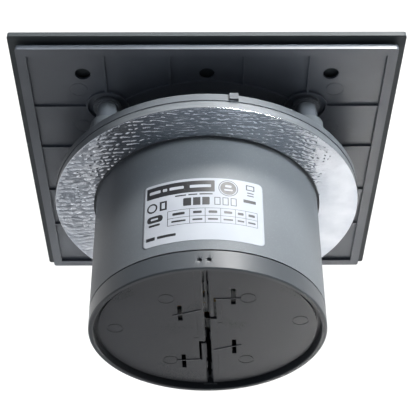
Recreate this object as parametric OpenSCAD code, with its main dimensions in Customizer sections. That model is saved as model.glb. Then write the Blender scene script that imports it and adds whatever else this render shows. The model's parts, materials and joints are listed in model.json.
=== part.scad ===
// Bathroom extractor fan for a 100 mm duct, with a square front panel that stands off the wall,
// an axial impeller and a sprung two-leaf backdraught damper in the end of the spigot.
// The origin is on the duct axis in the plane of the wall. +Y goes into the wall, +Z is up.

/* [Front panel] */
// Side of the square front plate
plate_w = 160; // [150:1:175]
// Thickness of the front plate
plate_t = 2.2; // [1.5:0.1:3]
// Thickness of the foam tape between plate and carrier
tape_t = 1.8; // [1.2:0.1:2.2]
// Side of the square panel carrier
carrier_w = 153.7; // [146:0.1:154]
// Depth of the carrier's raised border
carrier_t = 2.45; // [2.2:0.05:3.2]
// Depth of the carrier's floor
floor_t = 1.05; // [0.8:0.05:1.4]
// Clear height of the air intake between carrier and flange
intake_gap = 14.05; // [13:0.05:18]
// Distance of each post from the duct axis, along X and along Z
post_offset = 42; // [40:0.5:43]
// Radius of the posts
post_r = 4.5; // [4:0.1:4.8]

/* [Wall flange] */
// Outer radius of the round wall flange
flange_r = 66.6; // [65.5:0.1:70]
// Thickness of the flange
flange_t = 4; // [3.5:0.1:5]
// Thickness of the foil-faced foam gasket
gasket_t = 3.8; // [3:0.1:5]
// Radius of the wall screw holes
wall_hole_r = 2.25; // [1.8:0.05:2.6]
// Distance between the wall screw holes along X
wall_hole_x = 108; // [106:1:110]
// Distance between the wall screw holes along Z
wall_hole_z = 40; // [34:1:42]

/* [Duct spigot] */
// Outer radius of the spigot
spigot_r = 48.5; // [48:0.1:49]
// Wall of the spigot tube
tube_wall = 2; // [1.8:0.1:2.2]
// Length of the tube behind the wall plane
tube_l = 55.6; // [54:0.1:62]
// Length of the whole spigot behind the wall plane, with its damper collar
spigot_l = 64.2; // [64:0.1:64.4]

/* [Impeller and motor] */
// Number of blades
blades = 7; // [5:1:9]
// Radius to the blade tips
impeller_r = 45; // [42:0.1:45.3]
// Radius of the impeller hub
hub_r = 16; // [14:0.5:18]
// Radius of the motor
motor_r = 26; // [26:0.1:27]
// Radius of the motor shaft
shaft_r = 2.5; // [2:0.1:3]

/* [Damper] */
// Angle that the damper collar is turned through on the duct axis, as fitted
damper_turn = 1.75; // [0:0.05:2]
// Radius of the hinge pins
pin_r = 0.7; // [0.6:0.02:0.74]
// Distance between the two hinge pins
pin_pitch = 3.6; // [3.5:0.05:3.7]
// Thickness of a flap
flap_t = 1.4; // [1.35:0.05:1.45]
// Depth of the flaps below the end of the collar
flap_recess = 2.2; // [2:0.1:2.4]

/* [Hidden] */
$fn = 96;
eps = 0.01;          // overlap that keeps cuts and unions clean
slip = 0.05;         // radial clearance of a running or sliding fit

// Planes along the duct axis, from the wall plane at 0
flange_rear_y = -gasket_t;
flange_front_y = flange_rear_y - flange_t;
carrier_rear_y = flange_front_y - intake_gap;
carrier_front_y = carrier_rear_y - carrier_t;
floor_rear_y = carrier_front_y + floor_t;
plate_rear_y = carrier_front_y - tape_t;
plate_front_y = plate_rear_y - plate_t;

// Carrier details
border_w = 4.05;     // width of the raised border
rib_w = 0.9;         // width of the ribs
rib_h = 1;           // height of the ribs over the floor
rib_lines = [post_offset, 15.4];
arc_rib_r = 57.3;    // radius of the round rib
ring_r = 9.1;        // outer radius of the ring round each post
ring_w = 0.8;
vent_r = 3.2;        // radius of the carrier's round holes
vent_x = 51;
vent_z = 61.2;
mark_r = 3.8;        // ejector marks in the floor
mark_x = 53.3;
mark_zs = [52, 29];
mark_depth = 0.15;
tape_w = 8;
tape_inset = 5;
corner_r = 1.2;

// Posts, their sockets and screws
boss_h = 4.2;        // height of the socket bosses over the flange
boss_r = 6.6;
grommet_r = 5;       // outer radius of the rubber socket liners
foot_r = 6;          // stepped foot of the posts
foot_h = 1.4;
step_r = 5.3;
step_h = 2.2;
peg_r = 3;
peg_end_y = flange_rear_y - 0.8;
peg_bevel = 0.8;
boss_front_y = flange_front_y - boss_h;
shoulder_y = boss_front_y - 0.3;
post_screw_r = 1.3;
post_screw_l = 9;
post_head_r = 3;
post_head_t = 1.1;
recess_w = 0.6;                  // cross recess in the screw heads
recess_l = 3.2;
recess_h = 0.6;

// Spigot and housing
tube_r = spigot_r - tube_wall;
root_r = spigot_r + 0.7;         // collar at the root of the tube, inside the gasket
gasket_in_r = spigot_r + 1.1;
gasket_out_r = flange_r - 0.4;
foil_t = 0.25;
mouth_r = 4;                     // radius of the rounded inlet lip
mouth_front_y = flange_front_y - 2;
lip_back = 1.4;                  // width of the lip's flat back
root_end_y = -0.2;
rim_round = 1.2;                 // rounding of the flange's front edge
label_t = 0.12;
label_w = 49;                    // size of the rating label along the arc
label_l = 29.8;                  // size along the duct axis
label_y = 21.4;                  // front edge of the label
label_turn = 2.2;                // turn of the label's middle from the top, towards +X
key_x = -10.7;                   // small locating key on the flange's edge
key_w = 3.6;
key_h = 0.35;

// Motor and its cradle, planes along Y
cradle_y = [20, 32];
bracket_y = [14, 22];
core_y = [22, 38];
rear_bracket_y = [38, 46];
bracket_wall = 1.4;
bracket_bevel = 2;
cooling_hole_r = 2.6;
cooling_hole_at = 14;
end_turn_h = 3.3;                // height of the winding's end turns
bush_r = 5;
bush_l = 6;
bearing_boss_r = 7;
core_bore_r = 12.4;
rotor_r = 11.9;
slot_r = 4.4;                    // winding windows in the stator core
slot_at = 17.2;
slots = 6;
bolt_r = 1.3;
bolt_head_r = 2;
bolt_at = 23.9;
bolt_turn = 30;
cradle_screw_r = 1.15;
cradle_screw_l = 2.2;            // reach of the screws from the inside of the band
arm_t = 2.4;
arm_w = 10;
cradle_in_r = motor_r + 0.1;
cradle_out_r = motor_r + 2.4;
band_in_r = tube_r - 1.3;
band_out_r = tube_r - 0.1;
lead_w = 4.4;
lead_t = 1.2;
lead_z = -spigot_r + 0.5;        // outer face of the lead, in a groove of the tube wall
lead_rear_y = cradle_y[1] + 1.6;
lead_front_y = mouth_front_y - 2;
lead_start_z = -57.2;
lead_room = 0.2;                 // clearance round the lead

// Impeller, planes along Y
impeller_y = [-7, 11];
blade_t = 1.5;
blade_arc_r = 24;
blade_chord = 22;
blade_stagger = 42;
hub_wall = 1.6;
hub_boss_r = 5.5;
shaft_y = [-8.6, 47.2];

// Terminal box in front of the flange, at the bottom
box_w = 36;
box_z = [-64.2, -52.6];
box_t = 1.4;
box_front_y = flange_front_y - 9.4;
lid_t = 1.4;
cable_x = 9;
cable_z = (box_z[0] + box_z[1]) / 2;
grommet_flange_r = 5.4;
grommet_hole_r = 4.2;
cable_bore_r = 3.2;
grommet_flange_t = 1.2;
pillar_r = 1.4;                  // pillars of the lid, which take its screws
pillar_x = box_w / 2 - 3;
lid_screw_r = 0.9;
block_x = [-13.2, 3.6];
block_h = 5.9;
pole_xs = [-10.4, -4.8, 0.8];
pole_z = box_z[0] + 3.2;
pole_screw_r = 1.15;
wire_hole_r = 0.8;

// Damper, measured from the duct axis, before the collar is turned
pin_x = pin_pitch / 2;
flap_rear_y = spigot_l - flap_recess;
flap_front_y = flap_rear_y - flap_t;
pin_y = flap_rear_y - 1.6;
pin_end = spigot_r - 0.9;
pin_mouth_r = 1;                 // mouths of the pin holes in the collar
collar_in_r = spigot_r - 2.1;
seal_t = 0.6;
seal_depth = 0.9;                // depth of the seal below the tube's outside
collar_front_y = tube_l + seal_t;
plug_front_y = tube_l - 6;
plug_out_r = tube_r - 0.1;
seat_in_r = tube_r - 3.3;         // inside of the ring that the closed flaps rest on
plug_bevel = [2, 3];             // bevel of the plug's mouth, across and along
seat_y = flap_front_y - 0.25;
lug_in = 45.1;                   // lugs that hold the ends of the pins
lug_half_w = 3;
pocket = [[-4, 58.95, 42], [4, seat_y, 46.2]];     // room in the seat for the flaps' swing
flap_r = 44.5;
flap_edge_x = 1.1;
barrel_r = 1.2;
barrel_spans = [[-42.4, -36], [-33, -27], [-6.8, -1], [3, 9], [28, 34], [36, 42.4]];
tongue_x = 2.9;                  // side of the tongue over the spring
slot_w = 1;
slot_z = [-24.3, -8.7];
slot_end_w = 1.9;
coil_z = [-23.6, -12.4];
wire_r = 0.2;
coil_in_r = pin_r + 0.06;
relief_r = 1.32;
hook_x = 10.7;                   // slots that take the spring's bent ends
hook_zs = [-25, 13.6];
hook_w = 1.8;
hook_l = 11.2;
leg_end_x = 13.8;
leg_y = flap_rear_y + wire_r + 0.02;
arm_start_x = 2.2;
arm_z = [15.9, 12];              // where the far arm starts and ends
line_w = 0.3;                    // engraved lines on the flaps
line_depth = 0.15;
strip_x = [3.9, 5.9];
strip_z = [-24.6, 43.4];
strip_step_z = -6;
flap_mark_r = 3.3;
flap_marks = [[15.7, 24.4], [16.4, -23.8]];
outer_mark_x = 37.5;
outer_mark_zs = [3, -6.3];       // on the left flap and on the right one
edge_bevel = 0.64;               // side of the square bar that bevels the meeting edges
finger_half_w = 0.42;
finger_z = [13.5, 40.4];         // free end of the finger, and where its thick root starts
cross_w = 1.8;                   // small cross-piece on the finger
cross_z = [20.6, 22];
finger_y = [57.4, 59.8];

// A body of revolution about the duct axis. Points are [radius, position along Y].
module turned(points) {
    rotate([-90, 0, 0]) rotate_extrude() polygon(points);
}

// A plain cylinder or tube about the Y axis
module ring_y(r_out, r_in, y0, y1) {
    translate([0, y0, 0]) rotate([-90, 0, 0]) difference() {
        cylinder(h = y1 - y0, r = r_out);
        if (r_in > 0) translate([0, 0, -eps]) cylinder(h = y1 - y0 + 2 * eps, r = r_in);
    }
}

// A flat outline in X and Z, given depth from y0 to y1
module sheet_y(y0, y1) {
    translate([0, y1, 0]) rotate([90, 0, 0]) linear_extrude(y1 - y0) children();
}

// A box between two corners
module box(low, high) {
    translate(low) cube(high - low);
}

// Copies at the four posts
module at_posts() {
    for (sx = [-1, 1], sz = [-1, 1])
        translate([sx * post_offset, 0, sz * post_offset]) children();
}

module rounded_square(w, r) {
    square([w, w - 2 * r], center = true);
    square([w - 2 * r, w], center = true);
    for (sx = [-1, 1], sz = [-1, 1]) translate([sx * (w / 2 - r), sz * (w / 2 - r)]) circle(r = r);
}

// ---- Front panel ----

module front_plate() {
    color("slategray") sheet_y(plate_front_y, plate_rear_y) rounded_square(plate_w, corner_r);
}

module adhesive_tapes() {
    reach = carrier_w / 2 - tape_inset;
    color("black") sheet_y(plate_rear_y, carrier_front_y) for (turn = [0:90:270])
        rotate(turn) translate([-reach + tape_w + 1, reach - tape_w])
            square([2 * (reach - tape_w - 1), tape_w]);
}

// Straight ribs between the border and the round rib or the post rings
module carrier_ribs() {
    reach = carrier_w / 2 - border_w + 1;
    difference() {
        for (at = rib_lines, side = [-1, 1], turn = [0, 90])
            rotate(turn) translate([side * at - rib_w / 2, -reach]) square([rib_w, 2 * reach]);
        circle(r = arc_rib_r);
        post_ring_insides();
    }
}

module post_ring_insides() {
    for (sx = [-1, 1], sz = [-1, 1])
        translate([sx * post_offset, sz * post_offset]) circle(r = ring_r - ring_w / 2);
}

module panel_carrier() {
    color("dimgray") difference() {
        union() {
            sheet_y(carrier_front_y, floor_rear_y) rounded_square(carrier_w, corner_r);
            sheet_y(carrier_front_y, carrier_rear_y) difference() {
                rounded_square(carrier_w, corner_r);
                square(carrier_w - 2 * border_w, center = true);
            }
            sheet_y(floor_rear_y - eps, floor_rear_y + rib_h) {
                carrier_ribs();
                difference() {
                    circle(r = arc_rib_r + rib_w / 2);
                    circle(r = arc_rib_r - rib_w / 2);
                    post_ring_insides();
                }
            }
            at_posts() ring_y(ring_r, ring_r - ring_w, floor_rear_y - eps, floor_rear_y + rib_h + 0.2);
        }
        for (x = [-vent_x, 0, vent_x], side = [-1, 1]) translate([x, 0, side * vent_z])
            ring_y(vent_r, 0, carrier_front_y - 1, carrier_rear_y + 1);
        for (x = [-mark_x, mark_x], z = mark_zs, side = [-1, 1]) translate([x, 0, side * z])
            ring_y(mark_r, mark_r - line_w, floor_rear_y - mark_depth, floor_rear_y + eps);
        at_posts() ring_y(post_screw_r + slip, 0, carrier_front_y - 1, carrier_rear_y + 1);
    }
}

module panel_posts() {
    color("gray") at_posts() difference() {
        turned([[0, floor_rear_y], [foot_r, floor_rear_y], [foot_r, floor_rear_y + foot_h],
            [step_r, floor_rear_y + foot_h], [step_r, floor_rear_y + step_h],
            [post_r, floor_rear_y + step_h], [post_r, shoulder_y], [peg_r, shoulder_y],
            [peg_r, peg_end_y - peg_bevel], [peg_r - peg_bevel, peg_end_y], [0, peg_end_y]]);
        ring_y(post_screw_r + slip, 0, floor_rear_y - 1, carrier_front_y + post_screw_l + 1);
    }
}

module post_screws() {
    color("silver") at_posts() union() {
        ring_y(post_screw_r, 0, carrier_front_y - eps, carrier_front_y + post_screw_l);
        difference() {
            ring_y(post_head_r, 0, carrier_front_y - post_head_t, carrier_front_y);
            for (turn = [0, 90]) rotate([0, turn, 0])
                box([-recess_l / 2, carrier_front_y - post_head_t - 1, -recess_w / 2],
                    [recess_l / 2, carrier_front_y - post_head_t + recess_h, recess_w / 2]);
        }
    }
}

// ---- Flange, tube and wall gasket ----

// Half section of the flange: a rounded rim outside, and a rounded inlet lip inside
module flange_section() {
    lip_y = mouth_front_y + mouth_r;
    lip_r = tube_r + mouth_r;
    translate([tube_r, lip_y]) square([flange_r - rim_round - tube_r, flange_rear_y - lip_y]);
    translate([lip_r, flange_front_y]) square([flange_r - rim_round - lip_r, flange_t]);
    translate([flange_r - rim_round - eps, flange_front_y + rim_round])
        square([rim_round + eps, flange_t - rim_round]);
    translate([flange_r - rim_round, flange_front_y + rim_round]) circle(r = rim_round);
    difference() {
        union() {
            translate([lip_r, lip_y]) circle(r = mouth_r);
            translate([lip_r, mouth_front_y]) square([lip_back, mouth_r]);
        }
        translate([lip_r + lip_back, mouth_front_y - 1])
            square([mouth_r, 1 + flange_front_y - mouth_front_y]);
        translate([tube_r, lip_y + 1]) square([2 * mouth_r + 1, mouth_r]);
    }
}

module wall_flange() {
    color("slategray") difference() {
        union() {
            rotate([-90, 0, 0]) rotate_extrude() flange_section();
            at_posts() ring_y(boss_r, 0, boss_front_y, flange_front_y + eps);
            sheet_y(flange_front_y + 0.6, flange_rear_y - 0.4)
                translate([key_x - key_w / 2, flange_r - 2]) square([key_w, 2 + key_h]);
        }
        at_posts() ring_y(grommet_r, 0, boss_front_y - 1, flange_rear_y + 1);
        for (sx = [-1, 1], sz = [-1, 1]) translate([sx * wall_hole_x / 2, 0, sz * wall_hole_z / 2])
            ring_y(wall_hole_r, 0, flange_front_y - 1, flange_rear_y + 1);
        translate([cable_x, 0, cable_z])
            ring_y(grommet_hole_r, 0, flange_front_y - 1, flange_rear_y + 1);
        lead_groove();
        box([-lead_w / 2 - lead_room, mouth_front_y - 1, box_z[0]],
            [lead_w / 2 + lead_room, flange_front_y - 0.3, -tube_r + 2]);
    }
}

module lead_groove() {
    box([-lead_w / 2 - lead_room, mouth_front_y - 1, lead_z - lead_room / 2],
        [lead_w / 2 + lead_room, lead_rear_y + lead_room, -tube_r + 2]);
}

// The tube has a thicker root, which the gasket goes round
module spigot_tube() {
    color("slategray") difference() {
        union() {
            ring_y(spigot_r, tube_r, flange_rear_y, tube_l);
            ring_y(root_r, tube_r, flange_rear_y, root_end_y);
        }
        lead_groove();
        at_cradle_screws() ring_y(cradle_screw_r + slip, 0, -cradle_screw_l - lead_room, 0);
    }
}

module post_grommets() {
    color("black") at_posts() difference() {
        union() {
            ring_y(grommet_r - eps, 0, boss_front_y, flange_rear_y);
            ring_y(boss_r - 0.6, 0, boss_front_y - 0.25, boss_front_y);
        }
        ring_y(peg_r + slip, 0, boss_front_y - 1, flange_rear_y + 1);
    }
}

module wall_gasket() {
    color("lightgray") difference() {
        ring_y(gasket_out_r, gasket_in_r, flange_rear_y, -foil_t);
        translate([cable_x, 0, cable_z]) ring_y(grommet_flange_r + 0.2, 0, flange_rear_y - 1, 1);
    }
}

module gasket_foil() {
    color("silver") difference() {
        ring_y(gasket_out_r + 0.1, gasket_in_r, -foil_t, 0);
        translate([cable_x, 0, cable_z]) ring_y(grommet_flange_r + 0.2, 0, -1, 1);
    }
}

// The label follows the tube
module rating_label() {
    turn = label_w / spigot_r * 180 / PI;
    color("white") rotate([-90, 0, 0]) rotate([0, 0, -90 + label_turn - turn / 2])
        rotate_extrude(angle = turn) translate([spigot_r, label_y]) square([label_t, label_l]);
}

// ---- Motor ----

module motor_cradle() {
    color("slategray") difference() {
        union() {
            ring_y(cradle_out_r, 0, cradle_y[0], cradle_y[1]);
            ring_y(band_out_r, band_in_r, cradle_y[0], cradle_y[1]);
            for (turn = [0:90:270]) rotate([0, turn, 0])
                box([-arm_t / 2, cradle_y[0], motor_r], [arm_t / 2, cradle_y[0] + arm_w, band_in_r + 0.4]);
        }
        ring_y(cradle_in_r, 0, cradle_y[0] - 1, cradle_y[1] + 1);
        box([-lead_w / 2 - lead_room, cradle_y[0] - 1, -tube_r - 1],
            [lead_w / 2 + lead_room, cradle_y[1] + 1, -band_in_r + lead_room]);
        at_cradle_screws() ring_y(cradle_screw_r + slip, 0, -3, 3);
    }
}

// Places of the radial screws that hold the cradle's band in the tube. A child's +Y points inwards.
module at_cradle_screws() {
    for (turn = [25:90:295]) rotate([0, turn, 0])
        translate([0, (cradle_y[0] + cradle_y[1]) / 2, band_in_r]) rotate([-90, 0, 0]) children();
}

module cradle_screws() {
    color("silver") at_cradle_screws() union() {
        ring_y(cradle_screw_r, 0, -cradle_screw_l, eps);
        ring_y(2.2, 0, 0.06, 1.3);
    }
}

// A cup-shaped end bracket: open towards y_open, closed at y_end
module end_bracket(y_open, y_end) {
    out = sign(y_end - y_open);
    color("silver") difference() {
        turned([[motor_r, y_open], [motor_r, y_end - out * bracket_bevel],
            [motor_r - bracket_bevel, y_end], [bush_r, y_end], [bush_r, y_end - out * bush_l],
            [bearing_boss_r, y_end - out * bush_l], [bearing_boss_r, y_end - out * bracket_wall],
            [motor_r - bracket_bevel, y_end - out * bracket_wall],
            [motor_r - bracket_wall, y_end - out * (bracket_bevel + 0.2)],
            [motor_r - bracket_wall, y_open]]);
        motor_bolt_holes();
        for (turn = [0:60:300]) rotate([0, turn, 0]) translate([0, 0, cooling_hole_at])
            ring_y(cooling_hole_r, 0, min(y_open, y_end) - 1, max(y_open, y_end) + 1);
    }
}

module motor_bolt_holes() {
    for (turn = [bolt_turn:120:360]) rotate([0, turn, 0]) translate([0, 0, bolt_at])
        ring_y(bolt_r + slip, 0, bracket_y[0] - 1, rear_bracket_y[1] + 1);
}

module front_bracket() {
    end_bracket(bracket_y[1], bracket_y[0]);
}

module rear_bracket() {
    end_bracket(rear_bracket_y[0], rear_bracket_y[1]);
}

module stator_core() {
    color("gray") difference() {
        ring_y(motor_r, core_bore_r, core_y[0], core_y[1]);
        for (i = [0:slots - 1]) rotate([0, i * 360 / slots, 0]) {
            translate([0, 0, slot_at]) ring_y(slot_r, 0, core_y[0] - 1, core_y[1] + 1);
            box([-0.8, core_y[0] - 1, core_bore_r - 1], [0.8, core_y[1] + 1, slot_at]);
        }
        motor_bolt_holes();
    }
}

module stator_winding() {
    end_in = core_bore_r + 0.8;
    end_out = slot_at + slot_r - 0.2;
    color("darkorange") union() {
        for (y = [core_y[0] - end_turn_h - 0.1, core_y[1] + 0.1])
            ring_y(end_out, end_in, y, y + end_turn_h);
        for (i = [0:slots - 1]) rotate([0, i * 360 / slots, 0]) translate([0, 0, slot_at])
            ring_y(slot_r - 0.35, 0, core_y[0] - end_turn_h / 2, core_y[1] + end_turn_h / 2);
    }
}

module bush(y0) {
    color("goldenrod") ring_y(bush_r - 0.02, shaft_r + 0.03, y0, y0 + bush_l);
}

module front_bush() {
    bush(bracket_y[0]);
}

module rear_bush() {
    bush(rear_bracket_y[1] - bush_l);
}

module motor_bolts() {
    color("silver") for (turn = [bolt_turn:120:360]) rotate([0, turn, 0]) translate([0, 0, bolt_at]) {
        ring_y(bolt_r, 0, bracket_y[0] - slip - eps, rear_bracket_y[1] + 1.5);
        ring_y(bolt_head_r, 0, bracket_y[0] - 1.4, bracket_y[0] - slip);
    }
}

// Flat twin lead from the terminal block, along a groove in the tube wall, to the motor
module motor_lead() {
    color("white") union() {
        box([-lead_w / 2, lead_front_y, lead_start_z], [lead_w / 2, lead_front_y + lead_t, lead_z + lead_t]);
        box([-lead_w / 2, lead_front_y, lead_z], [lead_w / 2, lead_rear_y, lead_z + lead_t]);
        box([-lead_w / 2, lead_rear_y - lead_t, lead_z], [lead_w / 2, lead_rear_y, -motor_r - 0.1]);
    }
}

// ---- Impeller ----

module blade_section() {
    bulge = sqrt(pow(blade_arc_r, 2) - pow(blade_chord / 2, 2));
    rotate(blade_stagger) translate([-bulge, 0]) intersection() {
        difference() {
            circle(r = blade_arc_r + blade_t / 2);
            circle(r = blade_arc_r - blade_t / 2);
        }
        translate([0, -blade_chord / 2]) square([blade_arc_r * 2, blade_chord]);
    }
}

module impeller() {
    mid_y = (impeller_y[0] + impeller_y[1]) / 2;
    color("white") difference() {
        union() {
            turned([[0, impeller_y[0]], [hub_r - 3, impeller_y[0]], [hub_r, impeller_y[0] + 3],
                [hub_r, impeller_y[1]], [hub_r - hub_wall, impeller_y[1]],
                [hub_r - hub_wall, impeller_y[0] + 3], [hub_boss_r, impeller_y[0] + 2],
                [hub_boss_r, impeller_y[1] - 2], [0, impeller_y[1] - 2]]);
            intersection() {
                for (i = [0:blades - 1]) rotate([0, i * 360 / blades, 0]) translate([hub_r - 1, mid_y, 0])
                    rotate([90, 0, 90]) linear_extrude(impeller_r) blade_section();
                ring_y(impeller_r, hub_r - 0.8, impeller_y[0] + 0.5, impeller_y[1]);
            }
        }
        ring_y(shaft_r, 0, impeller_y[0] - 1, impeller_y[1] + 1);
    }
}

module motor_shaft() {
    groove_y = impeller_y[0] - 0.9;
    color("silver") difference() {
        ring_y(shaft_r - eps, 0, shaft_y[0], shaft_y[1]);
        ring_y(shaft_r + 1, shaft_r - 0.4, groove_y, groove_y + 0.7);
    }
}

module rotor_core() {
    color("gray") ring_y(rotor_r, shaft_r, core_y[0] - 0.3, core_y[1] + 0.3);
}

module shaft_circlip() {
    clip_y = impeller_y[0] - 0.85;
    color("black") difference() {
        ring_y(shaft_r + 1.6, shaft_r - 0.35, clip_y, clip_y + 0.6);
        box([-1.6, clip_y - 1, 0], [1.6, clip_y + 2, 10]);
    }
}

// ---- Terminal box ----

module terminal_box() {
    color("whitesmoke") difference() {
        box([-box_w / 2, box_front_y, box_z[0]], [box_w / 2, flange_front_y - slip, box_z[1]]);
        box([-box_w / 2 + box_t, box_front_y - 1, box_z[0] + box_t],
            [box_w / 2 - box_t, flange_front_y - box_t, box_z[1] - box_t]);
        translate([cable_x, 0, cable_z]) ring_y(grommet_hole_r, 0, box_front_y, flange_front_y + 1);
        box([-lead_w / 2 - lead_room, lead_front_y - lead_room, box_z[1] - 2 * box_t],
            [lead_w / 2 + lead_room, lead_front_y + lead_t + lead_room, box_z[1] + 1]);
    }
}

module at_lid_screws() {
    for (side = [-1, 1]) translate([side * pillar_x, 0, cable_z]) children();
}

module terminal_lid() {
    color("whitesmoke") difference() {
        union() {
            box([-box_w / 2, box_front_y - lid_t, box_z[0]], [box_w / 2, box_front_y - slip, box_z[1]]);
            at_lid_screws() ring_y(pillar_r, 0, box_front_y - 2 * slip, flange_front_y - box_t - 2 * slip);
        }
        at_lid_screws() ring_y(lid_screw_r + slip, 0, box_front_y - lid_t - 1, flange_front_y - box_t - 1);
    }
}

module lid_screws() {
    color("silver") at_lid_screws() union() {
        ring_y(lid_screw_r, 0, box_front_y - lid_t - slip, box_front_y + 4);
        ring_y(2 * lid_screw_r, 0, box_front_y - lid_t - 1.1, box_front_y - lid_t - slip);
    }
}

module terminal_block() {
    front_y = flange_front_y - box_t - 0.1 - block_h;
    color("ivory") difference() {
        box([block_x[0], front_y, box_z[0] + box_t + 0.3],
            [block_x[1], front_y + block_h, box_z[1] - box_t - 0.3]);
        box([-lead_w / 2 - lead_room, lead_front_y - lead_room, lead_start_z - lead_room],
            [lead_w / 2 + lead_room, flange_front_y, box_z[1]]);
        for (x = pole_xs) translate([x, 0, pole_z]) {
            ring_y(pole_screw_r + 2 * slip, 0, front_y - 1, front_y + 2.2);
            translate([0, front_y + 2.2, -box_w / 2]) cylinder(h = box_w, r = wire_hole_r);
        }
    }
}

module terminal_screws() {
    front_y = flange_front_y - box_t - block_h + 0.2;
    color("gold") for (x = pole_xs) translate([x, 0, pole_z]) difference() {
        ring_y(pole_screw_r, 0, front_y, front_y + 1.7);
        box([-2, front_y - 1, -0.2], [2, front_y + 0.4, 0.2]);
    }
}

module cable_grommet() {
    color("black") translate([cable_x, 0, cable_z]) difference() {
        union() {
            ring_y(grommet_hole_r - 0.02, 0, flange_front_y - box_t - 0.6, flange_rear_y + 0.1);
            ring_y(grommet_flange_r, 0, flange_rear_y + 0.02, flange_rear_y + grommet_flange_t);
        }
        ring_y(cable_bore_r, 0, flange_front_y - 5, flange_rear_y + 5);
    }
}

// ---- Damper ----

// Turns a piece of the damper to the angle at which the collar is fitted
module as_fitted() {
    rotate([0, damper_turn, 0]) children();
}

// A round bar along Z at a given place
module bar_z(r, x, y, z0, z1) {
    translate([x, y, z0]) cylinder(h = z1 - z0, r = r);
}

module collar_seal() {
    color("black") ring_y(spigot_r - seal_depth, plug_out_r + slip, tube_l, collar_front_y);
}

module damper_collar() {
    color("slategray") as_fitted() difference() {
        union() {
            difference() {
                turned([[spigot_r, collar_front_y], [spigot_r, spigot_l - 0.5], [spigot_r - 0.5, spigot_l],
                    [collar_in_r + 0.3, spigot_l], [collar_in_r, spigot_l - 0.3], [collar_in_r, seat_y],
                    [seat_in_r, seat_y], [seat_in_r, plug_front_y + plug_bevel[1]],
                    [seat_in_r + plug_bevel[0], plug_front_y], [plug_out_r, plug_front_y],
                    [plug_out_r, collar_front_y]]);
                for (turn = [0, 180]) rotate([0, turn, 0]) box(pocket[0], pocket[1] + [0, eps, 0]);
            }
            intersection() {
                for (side = [-1, 1])
                    box([-lug_half_w, pin_y - 2, side > 0 ? lug_in : -spigot_r],
                        [lug_half_w, flap_rear_y, side > 0 ? spigot_r : -lug_in]);
                ring_y(collar_in_r + 0.5, 0, plug_front_y, spigot_l);
            }
            box([-finger_half_w, finger_y[0], finger_z[0]], [finger_half_w, finger_y[1], lug_in + 1]);
            box([-cross_w / 2, finger_y[0], cross_z[0]], [cross_w / 2, finger_y[1], cross_z[1]]);
            box([-pin_x + pin_r, finger_y[0], finger_z[1]],
                [pin_x - pin_r, finger_y[1] - 0.9, lug_in + 1.4]);
        }
        for (x = [-pin_x, pin_x]) {
            bar_z(pin_r, x, pin_y, -pin_end, pin_end);
            for (side = [-1, 1])
                bar_z(pin_mouth_r, x, pin_y, side > 0 ? pin_end : -spigot_r - 1,
                    side > 0 ? spigot_r + 1 : -pin_end);
        }
    }
}

module hinge_pins() {
    color("silver") as_fitted() for (x = [-pin_x, pin_x])
        bar_z(pin_r - eps, x, pin_y, -pin_end + 0.1, pin_end - 0.1);
}

module flap_outline() {
    difference() {
        intersection() {
            circle(r = flap_r);
            translate([flap_edge_x, -spigot_r]) square([spigot_r, 2 * spigot_r]);
        }
        translate([tongue_x, slot_z[0]]) square([slot_w, slot_z[1] - slot_z[0]]);
        translate([0, slot_z[1] - slot_end_w]) square([tongue_x + slot_w, slot_end_w]);
        for (z = hook_zs) translate([hook_x - hook_w / 2, z - hook_l / 2]) square([hook_w, hook_l]);
    }
}

// Engraved outline of the hinge strip, which is wider in its lower part, and ejector marks
module flap_lines(outer_mark_z) {
    translate([strip_x[0], strip_step_z]) square([line_w, strip_z[1] - strip_step_z]);
    translate([strip_x[0], strip_step_z]) square([strip_x[1] - strip_x[0], line_w]);
    translate([strip_x[1], strip_z[0]]) square([line_w, strip_step_z - strip_z[0] + line_w]);
    for (c = concat(flap_marks, [[outer_mark_x, outer_mark_z]])) translate(c) difference() {
        circle(r = flap_mark_r);
        circle(r = flap_mark_r - line_w);
    }
}

// The flap on the +X side. The other one is turned half round, and differs in one ejector mark.
module flap(outer_mark_z) {
    difference() {
        union() {
            difference() {
                sheet_y(flap_front_y, flap_rear_y) flap_outline();
                sheet_y(flap_rear_y - line_depth, flap_rear_y + 1) flap_lines(outer_mark_z);
                translate([flap_edge_x, flap_rear_y, 0]) rotate([0, 0, 45])
                    cube([edge_bevel, edge_bevel, 4 * spigot_r], center = true);
            }
            for (span = barrel_spans) bar_z(barrel_r, pin_x, pin_y, span[0], span[1]);
        }
        bar_z(pin_r + slip, pin_x, pin_y, -spigot_r, spigot_r);
        bar_z(relief_r, pin_x, pin_y, coil_z[0] - 0.5, coil_z[1] + 0.6);
    }
}

module left_flap() {
    color("darkslategray") as_fitted() flap(outer_mark_zs[0]);
}

module right_flap() {
    color("darkslategray") as_fitted() rotate([0, 180, 0]) flap(outer_mark_zs[1]);
}

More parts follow.
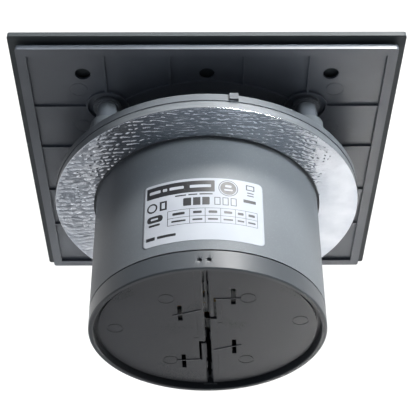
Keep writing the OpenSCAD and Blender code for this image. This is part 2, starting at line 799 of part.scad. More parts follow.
// Close-wound coil on the pin, with the leg that lies on its own flap
module spring() {
    pitch = 4 * wire_r;
    turns = floor((coil_z[1] - coil_z[0]) / pitch);
    leg_x = tongue_x + slot_w / 2;
    translate([pin_x, pin_y, coil_z[0]]) rotate_extrude() difference() {
        translate([coil_in_r, 0]) square([2 * wire_r, coil_z[1] - coil_z[0]]);
        for (i = [0:turns]) translate([coil_in_r + 2 * wire_r + 0.12, i * pitch]) circle(r = wire_r);
    }
    translate([0, 0, coil_z[0] - wire_r + slip]) {
        translate([pin_x, pin_y, 0]) rotate_extrude() translate([coil_in_r + wire_r, 0]) circle(r = wire_r);
        translate([pin_x + 1, pin_y, 0]) rotate([0, 90, 0]) cylinder(h = leg_x - pin_x - 1, r = wire_r);
        translate([leg_x, pin_y, 0]) sphere(r = wire_r);
        translate([leg_x, pin_y, 0]) rotate([-90, 0, 0]) cylinder(h = leg_y - pin_y, r = wire_r);
        translate([leg_x, leg_y, 0]) sphere(r = wire_r);
        translate([leg_x, leg_y, 0]) rotate([0, 90, 0]) cylinder(h = leg_end_x - leg_x, r = wire_r);
    }
}

// The far leg, which crosses the gap and lies on the other flap
module spring_arm() {
    start = [arm_start_x, leg_y, arm_z[0]];
    run = [leg_end_x, leg_y, arm_z[1]] - start;
    translate(start) rotate([0, 90 - atan2(run[2], run[0]), 0]) cylinder(h = norm(run), r = wire_r);
}

module lower_spring() {
    color("silver") as_fitted() spring();
}

module upper_spring() {
    color("silver") as_fitted() rotate([0, 180, 0]) spring();
}

module upper_spring_arm() {
    color("silver") as_fitted() spring_arm();
}

module lower_spring_arm() {
    color("silver") as_fitted() rotate([0, 180, 0]) spring_arm();
}

front_plate();
adhesive_tapes();
panel_carrier();
panel_posts();
post_screws();
wall_flange();
spigot_tube();
post_grommets();
wall_gasket();
gasket_foil();
rating_label();
motor_cradle();
cradle_screws();
front_bracket();
rear_bracket();
stator_core();
stator_winding();
front_bush();
rear_bush();
motor_bolts();
motor_lead();
terminal_box();
terminal_lid();
lid_screws();
terminal_block();
terminal_screws();
cable_grommet();
impeller();
motor_shaft();
rotor_core();
shaft_circlip();
collar_seal();
damper_collar();
hinge_pins();
left_flap();
right_flap();
lower_spring();
upper_spring();
lower_spring_arm();
upper_spring_arm();
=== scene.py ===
"""Looks of a bathroom extractor fan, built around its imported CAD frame.

Metres, in the frame of the part: the origin is on the duct axis in the wall plane,
+Y runs into the wall and +Z is up. The camera looks at the back of the fan from above.
"""

import json
import math

import bmesh
import bpy
from mathutils import Matrix, Vector, noise


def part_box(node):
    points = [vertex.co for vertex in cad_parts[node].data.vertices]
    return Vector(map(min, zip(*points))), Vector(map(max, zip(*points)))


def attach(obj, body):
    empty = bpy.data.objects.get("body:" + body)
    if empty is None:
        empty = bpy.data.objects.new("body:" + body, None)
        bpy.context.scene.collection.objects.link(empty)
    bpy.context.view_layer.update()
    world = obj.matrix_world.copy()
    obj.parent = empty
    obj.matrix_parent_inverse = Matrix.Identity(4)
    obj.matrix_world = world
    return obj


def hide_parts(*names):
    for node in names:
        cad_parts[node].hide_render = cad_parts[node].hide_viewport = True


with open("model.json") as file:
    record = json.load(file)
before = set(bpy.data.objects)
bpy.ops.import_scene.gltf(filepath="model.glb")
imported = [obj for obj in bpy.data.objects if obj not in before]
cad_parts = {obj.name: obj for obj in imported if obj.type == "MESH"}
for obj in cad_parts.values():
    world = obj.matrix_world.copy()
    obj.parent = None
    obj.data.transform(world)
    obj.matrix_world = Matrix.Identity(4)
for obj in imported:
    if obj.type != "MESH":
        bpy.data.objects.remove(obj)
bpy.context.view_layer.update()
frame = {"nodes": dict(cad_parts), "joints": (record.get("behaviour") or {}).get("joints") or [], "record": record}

MM = 0.001

# ---------------------------------------------------------------------------
# Sizes, read from the frame
# ---------------------------------------------------------------------------

record = frame["record"]
mounts = {m["name"]: m for m in record["mounts"]}
joints = {j["name"]: j for j in frame["joints"]}

SPIGOT_R = mounts["duct_spigot"]["dims"]["r_mm"] * MM
label_low, label_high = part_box("rating_label")

FOIL_FRONT_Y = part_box("gasket_foil")[0].y
GASKET_OUT_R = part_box("wall_gasket")[1].x
GASKET_IN_R = SPIGOT_R + 1.1 * MM
DAMPER_TURN = math.atan2(joints["left_flap_hinge"]["axis"][0], joints["left_flap_hinge"]["axis"][2])
PIN_X = math.hypot(joints["left_flap_hinge"]["pos_m"][0], joints["left_flap_hinge"]["pos_m"][2])
PIN_Y = joints["left_flap_hinge"]["pos_m"][1]
FLAP_REAR_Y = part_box("left_flap")[1].y


# ---------------------------------------------------------------------------
# Materials
# ---------------------------------------------------------------------------

class Shader:
    """Short notation for one material and its node tree."""

    def __init__(self, name, **values):
        self.material = bpy.data.materials.new(name)
        self.material.use_nodes = True
        self.tree = self.material.node_tree
        self.surface = self.tree.nodes["Principled BSDF"]
        self.place = self.tree.nodes.new("ShaderNodeTexCoord").outputs["Object"]
        for socket, value in values.items():
            self.put(self.surface, socket.replace("_", " "), value)

    def put(self, node, socket, value):
        target = node.inputs[socket]
        if isinstance(value, bpy.types.NodeSocket):
            self.tree.links.new(value, target)
        elif isinstance(value, (tuple, list)) and target.type == "RGBA" and len(value) == 3:
            target.default_value = (*value, 1)
        else:
            target.default_value = value

    def add(self, kind, out=0, settings=None, **sockets):
        node = self.tree.nodes.new("ShaderNode" + kind)
        for key, value in (settings or {}).items():
            setattr(node, key, value)
        for socket, value in sockets.items():
            self.put(node, socket.replace("_", " "), value)
        return node.outputs[out]

    def math(self, operation, a, b=0.0):
        node = self.tree.nodes.new("ShaderNodeMath")
        node.operation = operation
        self.put(node, 0, a)
        self.put(node, 1, b)
        return node.outputs[0]

    def scaled(self, x, y, z):
        """Object coordinates multiplied by a factor for each axis."""
        return self.add("Mapping", Vector=self.place, Scale=(x, y, z))

    def noise(self, scale, detail=3.0, roughness=0.5, vector=None, distortion=0.0):
        return self.add("TexNoise", Vector=vector or self.place, Scale=scale, Detail=detail,
                        Roughness=roughness, Distortion=distortion)

    def span(self, value, low, high, to_low=0.0, to_high=1.0):
        """The value's stretch from low to high, moved to the stretch from to_low to to_high."""
        node = self.tree.nodes.new("ShaderNodeMapRange")
        node.interpolation_type = "SMOOTHSTEP"
        for socket, v in (("Value", value), ("From Min", low), ("From Max", high),
                          ("To Min", to_low), ("To Max", to_high)):
            self.put(node, socket, v)
        return node.outputs["Result"]

    def mix(self, factor, a, b):
        node = self.tree.nodes.new("ShaderNodeMix")
        node.data_type = "RGBA"
        for index, value in ((0, factor), (6, a), (7, b)):
            self.put(node, index, value)
        return node.outputs[2]

    def bump(self, height, distance, strength=1.0):
        node = self.tree.nodes.new("ShaderNodeBump")
        self.put(node, "Height", height)
        self.put(node, "Distance", distance)
        self.put(node, "Strength", strength)
        return node.outputs[0]

    def finish(self, **sockets):
        for socket, value in sockets.items():
            self.put(self.surface, socket.replace("_", " "), value)
        return self.material


def moulded(name, colour, roughness, grain=0.35 * MM, depth=0.02 * MM, tint=0.12, painted_sparkle=0.0, coat=0.0,
            specular=0.4):
    """Injection-moulded plastic: fine eroded grain, cloudy gloss, faint handling marks."""
    s = Shader(name, Specular_IOR_Level=specular)
    if coat:
        s.finish(Coat_Weight=coat, Coat_Roughness=0.18)
    cloud = s.noise(38, 3)
    grain_noise = s.noise(1 / grain, 2, 0.6)
    scratch = s.noise(60, 4, 0.7, s.scaled(1, 14, 1))
    dark = [c * (1 - tint) for c in colour]
    light = [min(1, c * (1 + tint)) for c in colour]
    body = s.mix(s.span(cloud, 0.3, 0.7), dark, light)
    body = s.mix(s.span(scratch, 0.62, 0.78, 0, 0.22), body, [min(1, c * 1.7 + 0.02) for c in colour])
    rough = s.span(cloud, 0.3, 0.7, roughness - 0.04, roughness + 0.05)
    rough = s.math("ADD", rough, s.span(grain_noise, 0.3, 0.7, -0.03, 0.03))
    # Lighter specks in voronoi cells: the metal flakes in the plastic, with their glints painted into the base
    # colour as painted highlights.
    if painted_sparkle:
        flakes = s.add("TexVoronoi", out="Color", Vector=s.place, Scale=1 / (0.28 * MM))
        painted_glint = s.span(s.add("SeparateColor", Color=flakes), 0.86, 1.0, 0, painted_sparkle)
        body = s.mix(painted_glint, body, [min(1, c * 2.6 + 0.05) for c in colour])
    normal = s.bump(grain_noise, depth, 0.5)
    return s.finish(Base_Color=body, Roughness=rough, Normal=normal)


def bare_metal(name, colour, roughness, stretch=(1, 1, 1), depth=0.006 * MM):
    """Metal with fine machining lines along one axis, and a little tarnish."""
    s = Shader(name, Metallic=1.0)
    lines = s.noise(900, 3, 0.6, s.scaled(*stretch))
    cloud = s.noise(90, 4, 0.6)
    body = s.mix(s.span(cloud, 0.35, 0.7), colour, [c * 0.72 for c in colour])
    rough = s.math("ADD", s.span(cloud, 0.3, 0.7, roughness, roughness + 0.12),
                   s.span(lines, 0.3, 0.7, -0.05, 0.05))
    return s.finish(Base_Color=body, Roughness=rough, Normal=s.bump(lines, depth, 0.6))


def rubber(name, colour):
    """Dull black rubber with pores and a little dust."""
    s = Shader(name)
    pores = s.noise(2600, 2, 0.6)
    dust = s.noise(160, 5, 0.65)
    body = s.mix(s.span(dust, 0.5, 0.75, 0, 0.35), colour, [c + 0.05 for c in colour])
    return s.finish(Base_Color=body, Roughness=s.span(dust, 0.3, 0.8, 0.64, 0.82),
                    Normal=s.bump(pores, 0.03 * MM, 0.6))


def foam(name, colour):
    """Smooth-skinned closed-cell foam: faint cells and dull streaks."""
    s = Shader(name, Specular_IOR_Level=0.3)
    cells = s.add("TexVoronoi", Vector=s.place, Scale=1 / (0.5 * MM))
    streak = s.noise(90, 4, 0.6, s.scaled(1, 6, 1))
    body = s.mix(s.span(streak, 0.3, 0.7), [c * 0.82 for c in colour], [c * 1.15 for c in colour])
    body = s.mix(s.span(cells, 0.5, 0.9, 0, 0.25), body, [c * 0.7 for c in colour])
    return s.finish(Base_Color=body, Roughness=s.span(streak, 0.3, 0.7, 0.44, 0.58),
                    Normal=s.bump(cells, 0.02 * MM, 0.5))


def foil(name):
    """Aluminium foil on foam: bright, with fine crinkles between the pressed rows."""
    s = Shader(name, Metallic=1.0)
    crinkle = s.noise(1 / (0.8 * MM), 3, 0.6, s.scaled(0.45, 1, 1.3), 0.4)
    cloud = s.noise(55, 3)
    body = s.mix(s.span(cloud, 0.3, 0.7), (0.64, 0.66, 0.70), (0.47, 0.50, 0.55))
    rough = s.math("ADD", s.span(crinkle, 0.3, 0.7, 0.12, 0.22), s.span(cloud, 0.3, 0.7, -0.02, 0.05))
    return s.finish(Base_Color=body, Roughness=rough, Normal=s.bump(crinkle, 0.05 * MM, 0.6))


def laminations(name):
    """Stacked electrical steel: 0.5 mm sheets seen on edge along Y."""
    s = Shader(name, Metallic=1.0)
    sheets = s.add("TexWave", settings={"wave_type": "BANDS", "bands_direction": "Y", "wave_profile": "SIN"},
                   Vector=s.place, Scale=2000 / math.tau, Distortion=0.4)
    rust = s.noise(220, 4, 0.6)
    body = s.mix(s.span(sheets, 0.1, 0.5), (0.06, 0.06, 0.06), (0.34, 0.34, 0.35))
    body = s.mix(s.span(rust, 0.6, 0.78, 0, 0.6), body, (0.16, 0.10, 0.07))
    return s.finish(Base_Color=body, Roughness=0.42, Normal=s.bump(sheets, 0.05 * MM, 0.8))


def copper(name):
    """Enamelled winding wire, wound round the duct axis."""
    s = Shader(name, Metallic=0.9)
    wires = s.noise(1 / (0.35 * MM), 1, 0.4, s.scaled(0.25, 1.6, 0.25))
    body = s.mix(s.span(wires, 0.35, 0.6), (0.28, 0.09, 0.03), (0.66, 0.29, 0.10))
    return s.finish(Base_Color=body, Roughness=0.3, Normal=s.bump(wires, 0.12 * MM, 0.8))


def label_film(name):
    """Polyester film with a soft sheen and a few press marks. Its tone is set for this strong light."""
    s = Shader(name, Specular_IOR_Level=0.15)
    brush = s.noise(700, 2, 0.5, s.scaled(1, 0.05, 1))
    cloud = s.noise(60, 3)
    body = s.mix(s.span(cloud, 0.3, 0.7), (0.34, 0.353, 0.38), (0.31, 0.325, 0.352))
    return s.finish(Base_Color=body, Roughness=s.span(brush, 0.3, 0.7, 0.46, 0.56),
                    Normal=s.bump(cloud, 0.05 * MM, 0.4))


def ink(name, colour):
    """Printing ink, worn through to a lighter tone in specks."""
    s = Shader(name)
    wear = s.noise(1500, 3, 0.6)
    body = s.mix(s.span(wear, 0.62, 0.75, 0, 0.5), colour, [c + 0.10 for c in colour])
    return s.finish(Base_Color=body, Roughness=s.span(wear, 0.3, 0.7, 0.38, 0.5))


MATERIALS = {
    "plate_plastic": moulded("plate_plastic", (0.052, 0.060, 0.064), 0.50, 0.5 * MM, 0.008 * MM, tint=0.05,
                             specular=0.22),
    "foam_tape": foam("foam_tape", (0.012, 0.012, 0.013)),
    "carrier_plastic": moulded("carrier_plastic", (0.092, 0.104, 0.124), 0.36, 0.30 * MM, 0.016 * MM,
                               specular=0.80),
    "post_plastic": moulded("post_plastic", (0.105, 0.115, 0.130), 0.20, 0.9 * MM, 0.003 * MM, coat=0.5,
                            specular=0.8),
    "zinc_steel": bare_metal("zinc_steel", (0.62, 0.62, 0.60), 0.28),
    "flange_plastic": moulded("flange_plastic", (0.118, 0.127, 0.137), 0.52, 0.4 * MM, 0.008 * MM,
                              tint=0.05, specular=0.16),
    # Its sparkle is painted flake glints in the base colour.
    "housing_plastic": moulded("housing_plastic", (0.112, 0.122, 0.132), 0.50, 0.26 * MM, 0.016 * MM,
                               tint=0.05, painted_sparkle=0.10, specular=0.30),
    "black_rubber": rubber("black_rubber", (0.014, 0.014, 0.015)),
    "grey_foam": foam("grey_foam", (0.150, 0.160, 0.170)),
    "embossed_foil": foil("embossed_foil"),
    "label_film": label_film("label_film"),
    "inner_plastic": moulded("inner_plastic", (0.05, 0.052, 0.056), 0.42),
    "cast_alloy": bare_metal("cast_alloy", (0.62, 0.63, 0.64), 0.42, depth=0.03 * MM),
    "lamination_steel": laminations("lamination_steel"),
    "enamelled_copper": copper("enamelled_copper"),
    "sintered_bronze": bare_metal("sintered_bronze", (0.50, 0.34, 0.15), 0.45, depth=0.02 * MM),
    "lead_sheath": moulded("lead_sheath", (0.62, 0.62, 0.60), 0.40, tint=0.05),
    "box_plastic": moulded("box_plastic", (0.055, 0.058, 0.062), 0.42),
    "block_polyamide": moulded("block_polyamide", (0.62, 0.59, 0.50), 0.38, tint=0.05),
    "screw_brass": bare_metal("screw_brass", (0.72, 0.52, 0.22), 0.25),
    "impeller_plastic": moulded("impeller_plastic", (0.36, 0.37, 0.37), 0.34, tint=0.05),
    "ground_steel": bare_metal("ground_steel", (0.36, 0.36, 0.37), 0.30, (1, 6, 1)),
    "black_steel": bare_metal("black_steel", (0.06, 0.06, 0.06), 0.35),
    "flap_plastic": moulded("flap_plastic", (0.034, 0.036, 0.042), 0.32, 0.32 * MM, 0.010 * MM, tint=0.10,
                            specular=0.40),
    "spring_steel": bare_metal("spring_steel", (0.30, 0.30, 0.31), 0.34, (6, 6, 1)),
}
INK = ink("label_ink", (0.012, 0.012, 0.014))

# The collar takes the housing's plastic painted darker: a painted shade that holds down the strong light on it.
OWN_MATERIAL = {
    "damper_collar": moulded("collar_painted_shade_plastic", (0.050, 0.055, 0.061), 0.40, 0.26 * MM, 0.012 * MM,
                             tint=0.05, specular=0.45),
}

for part in record["subparts"]:
    cad = frame["nodes"][part["node"]]
    for material_slot in cad.material_slots:
        material_slot.material = OWN_MATERIAL.get(part["node"], MATERIALS[part["material_slot"]])


# ---------------------------------------------------------------------------
# Pieces
# ---------------------------------------------------------------------------

def add_piece(name, points, faces, slot, body, replaced=(), material=None):
    """A mesh piece that rides on a body and takes its finish from a slot of the record."""
    mesh = bpy.data.meshes.new(name)
    mesh.from_pydata(points, [], faces)
    mesh.validate()
    tidy = bmesh.new()
    tidy.from_mesh(mesh)
    bmesh.ops.recalc_face_normals(tidy, faces=tidy.faces)
    tidy.to_mesh(mesh)
    tidy.free()
    mesh.shade_smooth()
    mesh.materials.append(material or MATERIALS[slot])
    piece = bpy.data.objects.new(name, mesh)
    bpy.context.scene.collection.objects.link(piece)
    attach(piece, body)
    if replaced:
        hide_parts(*replaced)
    return piece


def grid_faces(rows, columns, closed=False):
    """Quads between rows of points. A closed grid joins its last column to its first."""
    faces = []
    for r in range(rows - 1):
        for c in range(columns if closed else columns - 1):
            n = (c + 1) % columns
            faces.append((r * columns + c, r * columns + n, (r + 1) * columns + n, (r + 1) * columns + c))
    return faces


def thicken(piece, thickness):
    """Gives a sheet a thickness, on its inner side."""
    solidify = piece.modifiers.new("thickness", "SOLIDIFY")
    solidify.thickness = thickness
    solidify.offset = -1


def soften_edges(node, width):
    """Rounds the edges of a CAD part as its mould would. Its own mesh stays as it is."""
    part = frame["nodes"][node]
    weld = part.modifiers.new("weld", "WELD")
    weld.merge_threshold = 0.002 * MM
    bevel = part.modifiers.new("edges", "BEVEL")
    bevel.width = width
    bevel.segments = 2
    bevel.limit_method = "ANGLE"
    bevel.angle_limit = math.radians(32)
    bevel.miter_outer = "MITER_ARC"
    part.modifiers.new("normals", "WEIGHTED_NORMAL")


# --- Foil face of the gasket ---

FOIL_ROW = 2.2 * MM         # pitch of the pressed rows, which run along X
FOIL_DASH = 7.0 * MM        # length of one dash of a row
FOIL_THREAD = 0.17          # half width of a raised thread, as a part of the pitch
FOIL_LIFT = 0.34 * MM       # keeps the hollows of the foil clear of the foam under it
FOIL_RELIEF = 0.32 * MM     # height of a thread
FOIL_WAVE = 0.15 * MM       # swell of the foil between the threads
FOIL_CREASE = 0.05 * MM     # fine creases
FOIL_EDGE = 2.6 * MM        # width of the crumpled strip beside the outer edge
FOIL_CRUMPLE = 0.16 * MM    # depth of its crumpling
FOIL_FOLD = 0.10 * MM       # how far the foil folds over the foam's edge
FOIL_FLAT = 0.80            # how much of the relief is pressed flat at the -X side
FOIL_CALM = 0.85            # how much of the swell is missing at the +X side
FOIL_HOLE_R = 5.7 * MM      # round the cable


def clamp(value):
    return max(0, min(1, value))


def ripple(x, y, size, layer=0.0):
    return noise.noise(Vector((x / size, y / size, layer)))


def emboss(x, z):
    """Height of the pressed pattern at a place: wavy raised threads, broken into dashes."""
    bend = 0.12 * (math.hypot(x, z) - z) / FOIL_ROW
    row = z / FOIL_ROW + bend + 0.9 * ripple(x, z, 15 * MM) + 0.30 * ripple(x, z, 2.4 * MM, 5)
    line = math.floor(row)
    thread = math.exp(-((row - line - 0.5) / FOIL_THREAD) ** 2)
    along = x / FOIL_DASH + 0.37 * line + 1.5 * ripple(x, z, 5 * MM, 9)
    dash = clamp(1.8 * math.sin(math.pi * along) ** 2 - 0.25 + 0.9 * ripple(x, z, 7 * MM, 13))
    flat = FOIL_FLAT * clamp((-x - 40 * MM) / (12 * MM)) * clamp((40 * MM - z) / (15 * MM))
    calm = 1 - FOIL_CALM * clamp((x - 5 * MM) / (25 * MM))
    wave = calm * FOIL_WAVE * math.sin(math.tau * (row + 0.25)) * (1 + 1.2 * ripple(x, z, 4 * MM, 17))
    fine = FOIL_CREASE * ripple(x * 0.35, z * 1.3, 0.9 * MM, 3)
    return (FOIL_RELIEF * (0.10 + 0.90 * dash) * thread + wave + fine) * (1 - flat)


def make_foil():
    """A ring of rows from the tube out to the rim, then a few more that fold over it."""
    around, across, over = 1500, 84, 3
    cable = Vector((mounts["cable_entry"]["pos_m"][0], mounts["cable_entry"]["pos_m"][2]))
    face_y = FOIL_FRONT_Y + FOIL_LIFT
    points = []
    for i in range(across + over):
        for j in range(around):
            turn = math.tau * j / around
            rim = Vector((math.sin(turn), math.cos(turn))) * GASKET_OUT_R
            ragged = ripple(rim.x, rim.y, 2.5 * MM)
            if i < across:
                r = GASKET_IN_R + (GASKET_OUT_R - GASKET_IN_R) * i / (across - 1)
                x, z = r * math.sin(turn), r * math.cos(turn)
                edge = max(0, 1 - (GASKET_OUT_R - r) / FOIL_EDGE)
                y = face_y + emboss(x, z) * (1 - 0.6 * edge)
                y += FOIL_CRUMPLE * edge * (0.5 * ripple(x, z, 0.9 * MM, 21) - 0.15)
            else:
                fold = (i - across + 1) / over
                r = GASKET_OUT_R + 0.06 * MM * (1 + ripple(rim.x, rim.y, 0.7 * MM, 2))
                x, z = r * math.sin(turn), r * math.cos(turn)
                y = face_y - 0.10 * MM - fold * (FOIL_FOLD + 0.12 * MM * ragged)
            flat = Vector((x, z)) - cable
            if flat.length < FOIL_HOLE_R:
                x, z = cable + flat.normalized() * FOIL_HOLE_R
            points.append((x, y, z))

    def open_at_cable(face):
        middle = sum((Vector((points[k][0], points[k][2])) for k in face), Vector((0, 0))) / 4
        return (middle - cable).length > FOIL_HOLE_R * 0.9995

    faces = [f for f in grid_faces(across + over, around, closed=True) if open_at_cable(f)]
    add_piece("foil_face", points, faces, "embossed_foil", "housing", ("gasket_foil",))


make_foil()

# --- Rating label: a film on the tube, printed with plain blocks and rules ---

# Places on the label are s along its width and t along its height, from its +X front corner.
LABEL_SIZE = (49.0 * MM, label_high.y - label_low.y)
LABEL_TURN = math.radians(2.2)
LABEL_CORNER = 1.9 * MM
FILM_T = 0.08 * MM
FILM_LIFT = 0.10 * MM       # heights above the tube
INK_LIFT = 0.125 * MM
LIGHT_LIFT = 0.14 * MM
HAIRLINE_CORNER = 0.02      # mm


def on_label(s, t, lift):
    """Point above the tube for a place on the label."""
    turn = LABEL_TURN + (LABEL_SIZE[0] / 2 - s) / SPIGOT_R
    r = SPIGOT_R + lift
    return (r * math.sin(turn), label_low.y + t, r * math.cos(turn))


def rounded_rows(low, high, corner, rows=9):
    """Rows (t, s_low, s_high) that fill a rectangle with round corners."""
    (s0, t0), (s1, t1) = low, high
    corner = min(corner, (s1 - s0) / 2, (t1 - t0) / 2)
    turns = [math.pi / 2 * k / rows for k in range(rows + 1)]
    start = [(t0 + corner * (1 - math.sin(a)), corner * (1 - math.cos(a))) for a in reversed(turns)]
    end = [(t1 - corner * (1 - math.sin(a)), corner * (1 - math.cos(a))) for a in turns]
    return [(t, s0 + cut, s1 - cut) for t, cut in start + end]


class Print:
    """Flat shapes wrapped on the tube and gathered into one mesh. Their sizes and places are in mm."""

    def __init__(self, lift):
        self.lift = lift
        self.points = []
        self.faces = []

    def rows(self, rows, columns):
        first = len(self.points)
        for t, low, high in rows:
            for c in range(columns):
                self.points.append(on_label(low + (high - low) * c / (columns - 1), t, self.lift))
        for face in grid_faces(len(rows), columns):
            self.faces.append(tuple(first + k for k in face))

    def block(self, s0, t0, s1, t1, corner=0.25):
        low, high = (s0 * MM, t0 * MM), (s1 * MM, t1 * MM)
        self.rows(rounded_rows(low, high, corner * MM, 3), max(2, int((s1 - s0) / 0.8) + 2))

    def rule(self, s0, t0, s1, t1, width=0.2):
        if abs(s1 - s0) > abs(t1 - t0):
            self.block(s0, t0 - width / 2, s1, t0 + width / 2, HAIRLINE_CORNER)
        else:
            self.block(s0 - width / 2, t0, s0 + width / 2, t1, HAIRLINE_CORNER)

    def frame(self, s0, t0, s1, t1, width):
        for t in (t0, t1 - width):
            self.block(s0, t, s1, t + width, HAIRLINE_CORNER)
        for s in (s0, s1 - width):
            self.block(s, t0 + width, s + width, t1 - width, HAIRLINE_CORNER)

    def ring(self, s, t, r_out, r_in):
        steps = 48
        first = len(self.points)
        for r in (r_in, r_out):
            for k in range(steps):
                turn = math.tau * k / steps
                place = ((s + r * math.sin(turn)) * MM, (t + r * math.cos(turn)) * MM)
                self.points.append(on_label(*place, self.lift))
        for face in grid_faces(2, steps, closed=True):
            self.faces.append(tuple(first + k for k in face))


def make_label():
    film = Print(FILM_LIFT)
    film.rows(rounded_rows((0, 0), LABEL_SIZE, LABEL_CORNER, 8), 64)
    film_piece = add_piece("label_film", film.points, film.faces, "label_film", "housing", ("rating_label",))
    thicken(film_piece, FILM_T)

    ink_print, light_print = Print(INK_LIFT), Print(LIGHT_LIFT)
    # banner with plain bars left clear in it
    ink_print.block(1.4, 1.2, 29.2, 6.8, 0.3)
    for s0, s1 in ((2.6, 7.4), (8.4, 10.2), (11.2, 17.0), (19.4, 27.8)):
        light_print.block(s0, 3.2, s1, 4.6, 0.3)
    for s0, s1 in ((13.5, 18.0), (18.8, 22.4), (23.2, 28.4)):
        ink_print.block(s0, 7.6, s1, 8.2, 0.2)
    # round badge
    ink_print.ring(34.6, 4.7, 3.95, 3.6)
    ink_print.ring(34.6, 4.7, 3.2, 0.05)
    light_print.block(33.3, 3.2, 35.9, 4.3, 0.4)
    light_print.block(32.9, 5.2, 36.3, 6.0, 0.3)
    # small signs in the right corner
    ink_print.frame(41.8, 1.7, 45.4, 4.3, 0.45)
    ink_print.rule(42.2, 5.6, 45.0, 5.6, 0.5)
    ink_print.rule(42.2, 6.9, 45.0, 6.9, 0.5)
    ink_print.block(40.6, 9.1, 45.8, 10.6, 0.1)
    # signs at the left
    ink_print.ring(3.9, 11.4, 2.3, 1.6)
    ink_print.frame(7.2, 9.2, 10.2, 13.6, 0.8)
    ink_print.block(1.8, 15.4, 8.6, 18.6, 1.4)
    light_print.block(3.4, 16.5, 6.6, 17.4, 0.4)
    ink_print.block(2.6, 19.4, 7.4, 20.4, 0.3)
    # heading: a heavy bar and an outlined one
    ink_print.block(16.8, 9.4, 27.2, 13.2, 0.4)
    for s in (20.0, 23.6):
        light_print.block(s, 9.2, s + 0.7, 13.4, 0.05)
    for s in (29.0, 32.2, 35.4):
        ink_print.frame(s, 9.4, s + 2.4, 13.2, 0.35)
    # table of two rows and six columns
    columns = (10.6, 19.4, 25.4, 31.4, 37.2, 41.4, 46.2)
    for t in (14.8, 18.4, 21.8):
        ink_print.rule(columns[0], t, columns[-1], t)
    for s in columns:
        ink_print.rule(s, 14.8, s, 21.8)
    for left, right in zip(columns, columns[1:]):
        middle, half = (left + right) / 2, (right - left) * 0.28
        ink_print.block(middle - half, 16.0, middle + half, 17.2, 0.3)
        ink_print.block(middle - half * 1.15, 19.7, middle + half * 1.15, 20.5, 0.2)
    # line at the foot
    ink_print.block(1.6, 25.4, 5.4, 27.0, 0.2)
    ink_print.block(6.4, 25.6, 14.0, 26.8, 0.2)
    add_piece("label_print", ink_print.points, ink_print.faces, "label_film", "housing", material=INK)
    add_piece("label_clear_marks", light_print.points, light_print.faces, "label_film", "housing")


make_label()

# --- Torsion springs, wound of real wire ---

WIRE_R = 0.18 * MM
COIL_R = 1.0 * MM
COIL_TURNS = 22
COIL_Z = (-23.6 * MM, -12.4 * MM)
COIL_STEPS = 14             # points in one turn
BEND_R = 0.8 * MM
ARM_Z = 13.0 * MM           # where the far arm enters its slot
SLOT_X = 3.4 * MM           # the slot that the near leg comes out of
HOOK_X = 10.7 * MM          # the slots that take the bent ends
LEG_Y = FLAP_REAR_Y + WIRE_R + 0.01 * MM


def wire(name, stretches, body, replaced, half_turn):
    """Round wire along stretches of points, in the damper's own frame, turned as the collar is fitted."""
    curve = bpy.data.curves.new(name, "CURVE")
    curve.dimensions = "3D"
    curve.bevel_depth = WIRE_R
    curve.bevel_resolution = 3
    curve.use_fill_caps = True
    turned = Matrix.Rotation(DAMPER_TURN + (math.pi if half_turn else 0), 4, "Y")
    for points in stretches:
        spline = curve.splines.new("POLY")
        spline.points.add(len(points) - 1)
        for point, place in zip(spline.points, points):
            point.co = (*(turned @ Vector(place)), 1)
    curve.materials.append(MATERIALS["spring_steel"])
    piece = bpy.data.objects.new(name, curve)
    bpy.context.scene.collection.objects.link(piece)
    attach(piece, body)
    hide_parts(replaced)


def rounded_path(corners):
    """The line through the corners, with each bend rounded."""
    steps = 6
    path = [Vector(corners[0])]
    for before, corner, after in zip(corners, corners[1:], corners[2:]):
        before, corner, after = Vector(before), Vector(corner), Vector(after)
        reach = min(BEND_R, (corner - before).length / 2.1, (after - corner).length / 2.1)
        start = corner + (before - corner).normalized() * reach
        end = corner + (after - corner).normalized() * reach
        for k in range(steps + 1):
            f = k / steps
            path.append(start * (1 - f) ** 2 + corner * 2 * f * (1 - f) + end * f ** 2)
    path.append(Vector(corners[-1]))
    return path


def make_springs():
    """Each spring is a coil with its near leg on one flap, and a far arm on the other."""
    low_z, high_z = COIL_Z
    steps = COIL_TURNS * COIL_STEPS
    coil = []
    for k in range(steps + 1):
        turn = math.tau * COIL_TURNS * k / steps
        z = low_z + (high_z - low_z) * k / steps
        coil.append(Vector((PIN_X + COIL_R * math.cos(turn), PIN_Y + COIL_R * math.sin(turn), z)))
    leg = rounded_path([(PIN_X + COIL_R, PIN_Y, low_z), (SLOT_X, PIN_Y, low_z), (SLOT_X, LEG_Y, low_z),
                        (HOOK_X + 3.1 * MM, LEG_Y, low_z - 0.4 * MM)])
    arm = rounded_path([(2.2 * MM, LEG_Y, ARM_Z + 2.9 * MM), (HOOK_X - 0.2 * MM, LEG_Y, ARM_Z),
                        (HOOK_X + 2.9 * MM, LEG_Y, ARM_Z - 1.0 * MM)])
    wire("lower_spring_wire", [coil, leg], "left_flap", "lower_spring", False)
    wire("upper_spring_wire", [coil, leg], "right_flap", "upper_spring", True)
    wire("upper_spring_arm_wire", [arm], "left_flap", "upper_spring_arm", False)
    wire("lower_spring_arm_wire", [arm], "right_flap", "lower_spring_arm", True)


make_springs()

# --- Rounded edges of the mouldings ---

EDGE_WIDTHS = {
    "front_plate": 0.45 * MM,
    "panel_carrier": 0.28 * MM,
    "panel_posts": 0.30 * MM,
    "wall_flange": 0.30 * MM,
    "damper_collar": 0.20 * MM,
    "left_flap": 0.20 * MM,
    "right_flap": 0.20 * MM,
}

for node, width in EDGE_WIDTHS.items():
    soften_edges(node, width)


# ---------------------------------------------------------------------------
# Camera, light and floor
# ---------------------------------------------------------------------------

CAMERA_AT = Vector((2.70, 296.49, 394.10)) * MM
PITCH, YAW, ROLL = math.radians(52.28), math.radians(-0.62), math.radians(0.32)

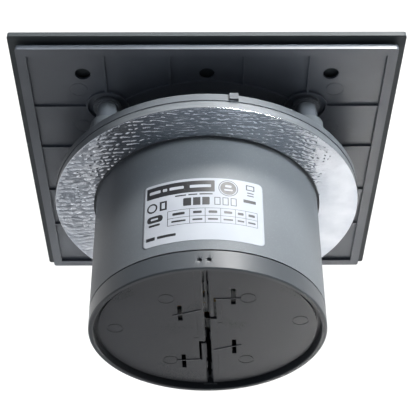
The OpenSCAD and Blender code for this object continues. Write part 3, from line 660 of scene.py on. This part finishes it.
camera = bpy.data.objects.new("camera", bpy.data.cameras.new("camera"))
bpy.context.scene.collection.objects.link(camera)
ahead = Vector((math.sin(YAW) * math.cos(PITCH), -math.cos(YAW) * math.cos(PITCH), -math.sin(PITCH)))
right = Vector((-math.cos(YAW), -math.sin(YAW), 0))
up = right.cross(ahead)
right, up = (right * math.cos(ROLL) + up * math.sin(ROLL), up * math.cos(ROLL) - right * math.sin(ROLL))
camera.matrix_world = Matrix((right, up, -ahead)).transposed().to_4x4()
camera.location = CAMERA_AT
camera.data.sensor_width = 36
camera.data.lens = 96.69
camera.data.shift_y = -0.0343
camera.data.clip_start = 0.01
bpy.context.scene.camera = camera
bpy.context.scene.view_settings.view_transform = "Standard"

FLOOR_Z = -0.30
FLOOR_SIZE = 9
KEY_PLACE = (-0.43, -1.06, 1.1)
WARM_WHITE = (1.0, 0.99, 0.97)


def aim(name, data, place, target, power, colour):
    """Puts a light at a place and turns it to a target."""
    data.energy = power
    data.color = colour
    light = bpy.data.objects.new(name, data)
    light.location = place
    light.rotation_euler = (Vector(target) - Vector(place)).to_track_quat("-Z", "Y").to_euler()
    bpy.context.scene.collection.objects.link(light)


def area_light(name, place, target, size, power, colour, spread=180):
    """A square softbox. A spread below 180 degrees is a grid on its front, which narrows its beam."""
    data = bpy.data.lights.new(name, "AREA")
    data.size = size
    data.spread = math.radians(spread)
    aim(name, data, place, target, power, colour)


def sun_light(name, place, angle, power, colour):
    """Light from one direction without falloff, so that the floor stays pale far out."""
    data = bpy.data.lights.new(name, "SUN")
    data.angle = math.radians(angle)
    aim(name, data, place, (0, 0, 0), power, colour)


def make_floor():
    mesh = bpy.data.meshes.new("floor")
    half = FLOOR_SIZE / 2
    corners = [(x, y, FLOOR_Z) for x, y in ((-half, -half), (half, -half), (half, half), (-half, half))]
    mesh.from_pydata(corners, [], [(0, 1, 2, 3)])
    floor = bpy.data.objects.new("floor", mesh)
    bpy.context.scene.collection.objects.link(floor)
    s = Shader("floor", Roughness=0.9)
    pale = s.mix(s.noise(3, 2), (0.90, 0.90, 0.90), (0.93, 0.93, 0.93))
    mesh.materials.append(s.finish(Base_Color=pale, Specular_IOR_Level=0.0))


def make_world():
    """Dim studio, a little lighter at -X and bluish at +X, with pale walls up to a low height all round."""
    world = bpy.data.worlds.new("studio")
    world.use_nodes = True
    bpy.context.scene.world = world
    tree = world.node_tree
    background = tree.nodes["Background"]
    coords = tree.nodes.new("ShaderNodeTexCoord")
    split = tree.nodes.new("ShaderNodeSeparateXYZ")
    tree.links.new(coords.outputs["Generated"], split.inputs[0])

    def blend(axis, start, end, second):
        """A mix that goes over to its second colour between two heights along an axis."""
        ramp = tree.nodes.new("ShaderNodeMapRange")
        ramp.interpolation_type = "SMOOTHSTEP"
        ramp.inputs["From Min"].default_value = start
        ramp.inputs["From Max"].default_value = end
        tree.links.new(split.outputs[axis], ramp.inputs["Value"])
        mix = tree.nodes.new("ShaderNodeMix")
        mix.data_type = "RGBA"
        tree.links.new(ramp.outputs[0], mix.inputs[0])
        mix.inputs[7].default_value = second
        return mix

    sides = blend("X", -0.7, 0.7, (0.08, 0.10, 0.14, 1))
    sides.inputs[6].default_value = (0.16, 0.16, 0.16, 1)
    walls = blend("Z", 0.32, 0.06, (0.42, 0.44, 0.47, 1))
    tree.links.new(sides.outputs[2], walls.inputs[6])
    tree.links.new(walls.outputs[2], background.inputs["Color"])
    background.inputs["Strength"].default_value = 1.0


make_floor()
make_world()
area_light("key", KEY_PLACE, (0, 0, 0), 0.45, 24, WARM_WHITE)
sun_light("far_key", KEY_PLACE, 16, 2.0, WARM_WHITE)
area_light("upper", (-0.85, -0.10, 1.05), (0, 0, 0), 0.20, 0.27, (0.90, 0.96, 1.0), spread=12)
area_light("low", (-0.45, 0.24, 0.05), (-0.20, 0.24, FLOOR_Z), 0.10, 0.6, (1.0, 0.99, 0.96), spread=24)
